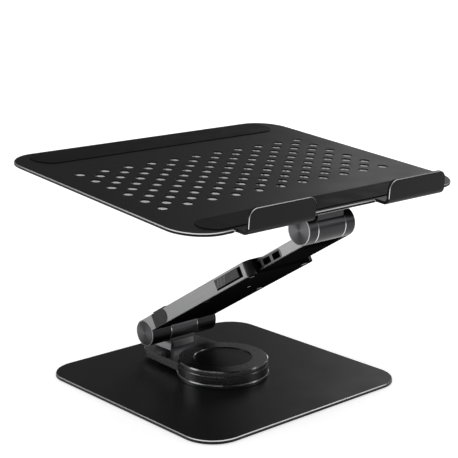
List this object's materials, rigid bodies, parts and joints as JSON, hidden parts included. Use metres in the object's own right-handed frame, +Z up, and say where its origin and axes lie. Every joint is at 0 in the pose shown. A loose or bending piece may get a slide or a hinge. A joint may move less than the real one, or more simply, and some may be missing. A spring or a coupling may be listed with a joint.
{
  "type": "laptop stand",
  "caption": "Folding laptop stand: a square swivel base, a telescoping arm between two friction hinges, and a perforated tray with two bent-up front lips and soft pads.",
  "frame": {"origin": "centre of the underside of the base, where it rests on the desk", "axes": "+X to the right of the person using it, along both hinge pins; +Y away from them, towards the back of the tray; +Z up"},
  "size_m": [0.3464, 0.305, 0.2307],
  "materials": {
    "coated_steel": "fine matte black powder coat",
    "dark_aluminium": "dark grey satin anodised",
    "brushed_aluminium": "spun, dark anodised",
    "bright_steel": "satin",
    "fastener_steel": "black oxide",
    "silicone": "matte",
    "black_plastic": "fine matte",
    "nylon": "plain"
  },
  "bodies": {
    "base": {"base_plate": "coated_steel", "base_pad": "silicone", "base_screws": "fastener_steel", "swivel_flange": "dark_aluminium", "lower_slip_washer": "nylon", "upper_slip_washer": "nylon", "clamp_ring": "dark_aluminium", "clamp_screws": "fastener_steel", "centre_cap": "black_plastic"},
    "swivel": {"turntable": "dark_aluminium", "lower_bracket": "dark_aluminium", "bracket_plate": "dark_aluminium", "bracket_screws": "fastener_steel", "lower_hinge_pin": "fastener_steel", "lower_hinge_washers": "bright_steel", "lower_hinge_nuts": "fastener_steel"},
    "lower_arm": {"arm_housing": "dark_aluminium", "housing_cover": "dark_aluminium", "cover_screws": "fastener_steel", "stop_pin": "fastener_steel", "arm_bumper": "silicone", "arm_glides": "nylon", "lock_spring": "bright_steel", "lower_hinge_bushes": "nylon", "lower_end_cap_left": "brushed_aluminium", "lower_end_cap_right": "brushed_aluminium"},
    "slider": {"lock_slider": "black_plastic"},
    "pawl": {"lock_pawl": "fastener_steel"},
    "upper_arm": {"inner_arm": "dark_aluminium", "upper_hinge_bushes": "nylon", "upper_end_cap_left": "brushed_aluminium", "upper_end_cap_right": "brushed_aluminium"},
    "tray": {"tray_bracket": "dark_aluminium", "upper_hinge_pin": "fastener_steel", "upper_hinge_washers": "bright_steel", "upper_hinge_nuts": "fastener_steel", "tray": "dark_aluminium", "front_pad": "silicone", "back_pad": "silicone", "tray_screws": "fastener_steel"}
  },
  "joints": [
    {"name": "base_swivel", "type": "hinge", "parent": "base", "child": "swivel", "pos_m": [0, 0, 0.0129], "axis": [0, 0, 1], "continuous": true},
    {"name": "arm_hinge", "type": "hinge", "parent": "swivel", "child": "lower_arm", "pos_m": [0, 0.0733, 0.0382], "axis": [-1, 0, 0], "range_deg": [-31.3, 28.7]},
    {"name": "arm_extension", "type": "slide", "parent": "lower_arm", "child": "upper_arm", "axis": [0, -0.8545, 0.5195], "range_m": [-0.0429, 0.0286]},
    {"name": "tray_hinge", "type": "hinge", "parent": "upper_arm", "child": "tray", "pos_m": [0, -0.13539, 0.18311], "axis": [1, 0, 0], "range_deg": [-36.4, 63.6]},
    {"name": "lock_slide", "type": "slide", "parent": "lower_arm", "child": "slider", "axis": [0, -0.8545, 0.5195], "range_m": [0, 0.0045], "stiffness_N_per_m": 800, "springref_m": -0.002},
    {"name": "pawl_draw", "type": "slide", "parent": "lower_arm", "child": "pawl", "axis": [-1, 0, 0], "range_m": [0, 0.00275]}
  ],
  "couplings": [
    {"joint": "pawl_draw", "follows": "lock_slide", "ratio": 0.60889}
  ]
}
